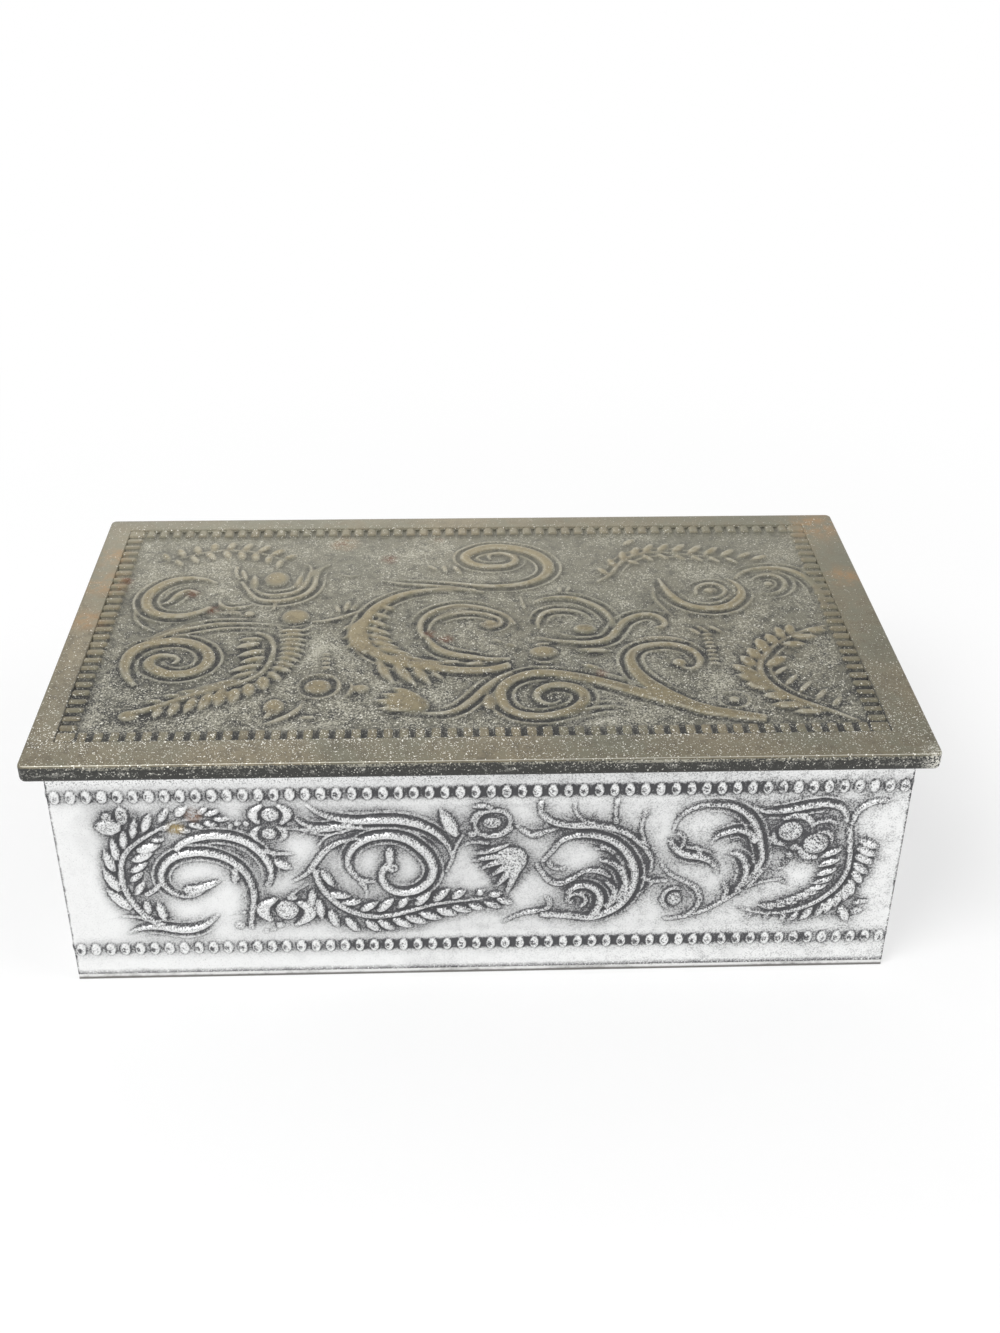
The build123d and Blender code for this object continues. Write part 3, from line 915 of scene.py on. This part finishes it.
def block(low, high):
    middle = [(a + b) / 2 * mm for a, b in zip(low, high)]
    bpy.ops.mesh.primitive_cube_add(size=1, location=middle)
    piece = bpy.context.object
    piece.scale = [(b - a) * mm for a, b in zip(low, high)]
    settle(piece)
    return piece


def cutAway(piece, tool):
    addModifier(piece, "BOOLEAN", object=tool, operation="DIFFERENCE", solver="EXACT")
    bpy.data.objects.remove(tool)


def roundEdges(piece, rounding, test):
    radius, steps = rounding
    only(piece)
    bpy.ops.object.mode_set(mode="EDIT")
    pickEdges(piece, test)
    bpy.ops.mesh.bevel(offset=radius * mm, segments=steps, affect="EDGES")
    bpy.ops.object.mode_set(mode="OBJECT")


def fieldEdges():  # the sunk field's sides along X and along Y
    inset = lid["rowInset"]
    reach = lidRows["width"] / 2 - lid["rowLap"]
    return [(shift - half + inset - reach, shift + half - inset + reach)
            for shift, half in zip(lid["shift"], lid["half"])]


def makeLidTray():
    halfX, halfY = lid["half"]
    top, foot, past = lid["top"], lid["foot"], lid["past"]
    tray = block((-halfX, -halfY, foot), (halfX, halfY, top))
    tray.name = "lid_tray"
    roundEdges(tray, lid["cornerRound"], lambda line, a, b: abs(a.z - b.z) > 1)
    roundEdges(tray, lid["edgeRound"], lambda line, a, b: min(a.z, b.z) > top - hair)
    roundEdges(tray, lid["footRound"], lambda line, a, b: max(a.z, b.z) < foot + hair)
    inner = halfX - lid["sheet"]
    cutAway(tray, block((-inner, lid["sheet"] - halfY, foot - past), (inner, halfY + past, lid["plateUnder"])))
    (lowX, highX), (lowY, highY) = fieldEdges()
    cutAway(tray, block((lowX, lowY, lid["ground"] - lid["fieldThickness"]), (highX, highY, top + past)))

    def onRim(spot):
        sides = (spot.x - lowX, spot.x - highX, spot.y - lowY, spot.y - highY)
        return spot.z > top - hair and min(abs(side) for side in sides) < hair

    roundEdges(tray, lid["rimRound"], lambda line, a, b: onRim(a) and onRim(b))
    smooth(tray, lid["sharpFrom"])
    return tray


def layLidRows():  # a row along each side of the field, and a square bead at each corner
    shiftX, shiftY = lid["shift"]
    halfX, halfY = (half - lid["rowInset"] for half in lid["half"])
    long, wide, rise, rounding = (lidRows[name] for name in ("length", "width", "rise", "rounding"))
    rows = []
    for half, other, upright in ((halfX, halfY, False), (halfY, halfX, True)):
        length = 2 * half - wide + 2 * lid["rowLap"]
        count = round(length / lidRows["pitch"])
        step = length / count
        for side in (-1, 1):
            start, jump, size = (-length / 2 + step / 2, side * other), (step, 0), (long, wide, rise)
            if upright:
                start, jump, size = start[::-1], jump[::-1], (wide, long, rise)
            rows.append(layBeadRow((start[0] + shiftX, start[1] + shiftY), count, jump, size, rounding))
    for x in (-halfX, halfX):
        for y in (-halfY, halfY):
            rows.append(layBeadRow((x + shiftX, y + shiftY), 1, (0, 0), (wide, wide, rise), rounding))
    return rows


def makeLidField():
    (lowX, highX), (lowY, highY) = fieldEdges()
    parts = [layStrokes(lidOrnament, 0, wholeDrawing)] + layBalls(lidOrnament, 0, wholeDrawing) + layLidRows()
    field = pressSheet("lid_field", (lowX, lowY), (highX, highY), lid["cells"], joinDie(parts), lid)
    only(field)
    bpy.ops.object.mode_set(mode="EDIT")
    pullRim(0)
    shape = bmesh.from_edit_mesh(field.data)
    for vertex in shape.verts:
        if vertex.select:
            vertex.co.z = -lid["fieldThickness"] * mm
    bmesh.update_edit_mesh(field.data)
    fillRim()
    field.location.z = lid["ground"] * mm
    settle(field)
    smooth(field, pressing["sharpFrom"])
    return field


bronze = {
    "tan": (0.222, 0.189, 0.124, 1),
    "olive": (0.166, 0.158, 0.112, 1),
    "grey": (0.176, 0.170, 0.132, 1),
    "gilt": (0.240, 0.196, 0.108, 1),
    "pale": (0.52, 0.50, 0.41, 1),
    "dark": (0.030, 0.030, 0.028, 1),
    "skirt": (0.050, 0.050, 0.046, 1),
    "bareAndGlint": (0.80, 0.785, 0.71, 1),
    "orange": (0.42, 0.22, 0.07, 1),
    "rust": (0.12, 0.045, 0.020, 1),
    "orangeSpots": (((51, 28, 35), 7), ((-52, 12, 35), 5), ((-52.5, 2, 35), 4), ((52, 12, 35), 4),
                    ((-52, 20, 35), 4), ((-19, 24, 34.6), 3)),
    "rustSpots": (((-48.8, 13.4, 34.6), 1.3), ((-12.3, 19.2, 34.6), 1.9), ((-19.4, 24.0, 34.6), 1.2),
                  ((-39.2, 9.6, 34.9), 1.6), ((-5.2, 25.0, 34.6), 1.1), ((-6.4, -2.0, 34.6), 1.4),
                  ((-4.4, -3.2, 34.6), 1.6), ((15.6, -12.2, 34.8), 1.2), ((-35.6, 5.0, 34.6), 1.6)),
    "darkCorner": ((-46, -24, 34.6), 17),
    "wornCorner": ((53.8, -31.4, 33.6), 3.4),
    "noises": ((0.07, 3, 1), (0.7, 4, 3, 0.6), (3.6, 3, 5, 0.6), (5.2, 1, 7), (0.16, 2, 9)),
}


def lidFinish():
    finish, wire = newFinish("wornBronze")
    place = placeInMm(wire)
    across, depth, height = (place.axis(index) for index in range(3))
    rise, halo, rim = attributes(wire, "rise", "halo", "edge")
    cloud, mottle, grain, spark, patch = noises(place, bronze["noises"])
    blotch = mottle * 0.6 + grain * 0.4
    # where the point lies: towards the front, on the sunk ground, on the turned-down edge, in a bead row
    nearFront = (depth + cloud * 16 - 8).step(6, -24)
    ground = height.step(34.80, 34.62) * height.step(34.2, 34.4)
    ends = abs(across).step(53.2, 53.6).most(depth.step(-30.7, -31.1)).most(depth.step(31.2, 31.4))
    skirt = height.step(34.78, 34.55) * ends
    farX, farY = (abs(axis - shift) - (half - lid["rowInset"])
                  for axis, shift, half in zip((across, depth), lid["shift"], lid["half"]))

    def inRows(wide, long, sideShare=1):  # both are (where it is 0, where it is 1), across and past the rows
        sides = abs(farX).step(*wide) * farY.step(*long) * sideShare
        return sides.most(abs(farY).step(*wide) * farX.step(*long))

    onRow = inRows((2.0, 1.4), (2.0, 1.4))
    gaps = inRows((1.35, 1.05), (1.2, 0.8), 0.5) * rise.step(0.78, 0.5) * (0.2 + nearFront)
    # darkening: patina beside the relief, dirt in the bead gaps and blotches, and painted shade that grows
    # towards the front and fades towards the back
    dirtAndShade = sum([
        halo.step(0.02, 0.95) * (0.3 + mottle * 0.35 + grain * 0.25) * (1 - onRow * 0.8),
        gaps,
        ground * (blotch.step(0.42, 0.66) * 0.5 + nearFront * 0.2),
        ground * place.near(*bronze["darkCorner"]) * 0.3,
        blotch.step(0.44, 0.64) * 0.42,
        nearFront * 0.12,
    ]).clamp() * (1 - depth.step(-8, 24) * 0.42)
    gilded = rise.step(0.55, 0.85) * (1 - ground) * (1 - onRow * 0.8) * 0.75
    colour = (cloud * 0.7 + mottle * 0.5).step(0.48, 0.72).mix(bronze["olive"], bronze["tan"])
    colour = (ground * (0.5 + mottle * 0.6)).mix(colour, bronze["grey"])
    colour = gilded.mix(colour, bronze["gilt"])
    colour = dirtAndShade.mix(colour, bronze["dark"])
    colour = skirt.mix(colour, bronze["skirt"])
    for spot, reach in bronze["orangeSpots"]:
        colour = (place.near(spot, reach) * mottle.step(0.3, 0.75) * 0.6).mix(colour, bronze["orange"])
    for spot, reach in bronze["rustSpots"]:
        share = place.near(spot, reach) * (mottle + grain * 0.4).step(0.5, 0.75) * 0.9
        colour = share.mix(colour, bronze["rust"])
    # bare specks, partly painted glints, gather in patches, more towards the front; the same pale mix carries the
    # front edge's painted highlight
    spread = (depth + patch * 50 - 25).step(16, -30)
    beads = abs(farY).step(3.2, 1.2) * (1 - ground)
    specks = (spark + spread * 0.06 + patch * 0.08 + beads * 0.03 - skirt * 0.035).step(0.742, 0.775)
    stipple = (spark * 0.65 + grain * 0.35 + patch * 0.45 + spread * 0.05).step(0.735, 0.845)
    # a thin pale line along the top of the front edge: painted highlight where the rounded edge catches the light
    frontEdgeHighlight = height.step(34.86, 34.93) * (1 - height.step(34.95, 34.985)) * depth.step(-31.2, -31.4)
    skirtBand = skirt * height.step(33.2, 33.7) * height.step(34.4, 34.0)
    skirtBand = skirtBand * (mottle * 0.5 + spark * 0.5).step(0.5, 0.6)
    corner = place.near(*bronze["wornCorner"]) * spark.step(0.42, 0.55)
    bareAndGlint = specks * (1 - halo * 0.8) * (0.35 + mottle) + frontEdgeHighlight * 0.35 + skirtBand * 0.25 + corner * 0.8
    bareAndGlint = bareAndGlint.clamp()
    for share in (
        # paler towards the back: painted sheen
        depth.step(0, 31) * 0.1,
        ground * (1 - halo) * stipple * 0.62,
        # pale lines along the rims of the relief: painted highlight, partly worn edges
        rim.step(0.2, 0.8) * (1 - onRow) * blotch.step(0.38, 0.58) * 0.5,
    ):
        colour = share.mix(colour, bronze["pale"])
    relief = grain * (0.6 + ground) + mottle * (0.9 + ground) + spark * (0.3 + ground * 0.5)
    closeFinish(wire, {
        "Base Color": bareAndGlint.mix(colour, bronze["bareAndGlint"]),
        "Metallic": 0.65 + bareAndGlint * 0.3 - dirtAndShade * 0.4,
        "Roughness": 0.46 + dirtAndShade * 0.2 - bareAndGlint * 0.12 - skirt * 0.08,
        "Normal": bump(wire, relief, 0.07),
    })
    return finish


lidPieces = [makeLidTray(), makeLidField()]
lidSurface = lidFinish()
for piece in lidPieces:
    dress(piece, lidSurface)
    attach(piece, "lid")
    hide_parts("lid_shell")
print("lid is pressed")

makeWall("pressed_front", "front_panel", wall["front"], 0, 0, wholeDrawing)
print("front wall is pressed")
makeWall("pressed_back", "back_panel", wall["front"], math.pi, 0, wholeDrawing, notch=True)
makeWall("pressed_right_end", "right_end_panel", wall["end"], math.pi / 2, wall["endShift"], leftHalf)
makeWall("pressed_left_end", "left_end_panel", wall["end"], -math.pi / 2, wall["endShift"], leftHalf)
print("back and ends are pressed")

# metals of the pieces that stay as the CAD has them: the drawn lines run where the stretch is small
plainMetals = {
    "insideBrass": {
        "nodes": ("left_well_floor", "middle_well_floor", "right_well_floor",
                  "left_divider", "right_divider", "lid_liner"),
        "bright": (0.62, 0.55, 0.39, 1),
        "dull": (0.20, 0.165, 0.105, 1),
        "stretch": (0.08, 1.0, 1.0),
        "tarnish": 0.45,
        "rough": 0.33,
    },
    "footMetal": {
        "nodes": ("base_plate",),
        "bright": (0.84, 0.84, 0.83, 1),
        "dull": (0.22, 0.215, 0.205, 1),
        "stretch": (0.3, 0.3, 1.0),
        "tarnish": 0.6,
        "rough": 0.38,
    },
    "hingeSilver": {
        "nodes": ("hinge_body_leaf", "hinge_lid_leaf"),
        "bright": (0.60, 0.59, 0.56, 1),
        "dull": (0.13, 0.125, 0.115, 1),
        "stretch": (0.25, 1.0, 1.0),
        "tarnish": 0.9,
        "rough": 0.32,
    },
    "pinSteel": {
        "nodes": ("hinge_pin",),
        "bright": (0.50, 0.50, 0.50, 1),
        "dull": (0.16, 0.12, 0.09, 1),
        "stretch": (1.0, 0.3, 0.3),
        "tarnish": 0.8,
        "rough": 0.28,
    },
}
plainNoises = ((0.09, 3, 2), (0.6, 4, 3, 0.6), (4.0, 2, 4))
streakNoise = (5.0, 3, 1, 0.6)


def plainFinish(name, look):
    finish, wire = newFinish(name)
    place = placeInMm(wire)
    stretched = wire.make("ShaderNodeVectorMath", {"operation": "MULTIPLY"}, {0: place, 1: look["stretch"]})
    streak = stretched.noise(*streakNoise)
    cloud, mottle, grain = noises(place, plainNoises)
    stainAndFootShadow = (cloud * 0.5 + mottle * 0.5).step(0.44, 0.64) * 0.7
    stainAndFootShadow += (mottle * 0.4 + grain * 0.6).step(0.54, 0.68) * 0.5
    # darker along the lowest half millimetre: painted shadow in the gap under the foot
    edge = place.axis(2).step(0.5, 0.2)  # only the foot reaches down so far
    stainAndFootShadow = ((stainAndFootShadow + streak.step(0.5, 0.7) * 0.25) * look["tarnish"] + edge).clamp()
    closeFinish(wire, {
        "Base Color": stainAndFootShadow.mix(look["bright"], look["dull"]),
        "Metallic": 1 - stainAndFootShadow * 0.35,
        "Roughness": look["rough"] + stainAndFootShadow * 0.22 + streak * 0.1,
        "Normal": bump(wire, streak * 0.5 + mottle * 0.5 + grain * 0.2, 0.02),
    })
    return finish


for name, look in plainMetals.items():
    surface = plainFinish(name, look)
    for node in look["nodes"]:
        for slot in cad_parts[node].material_slots:
            slot.material = surface
print("inside, foot and hinge have their metals")
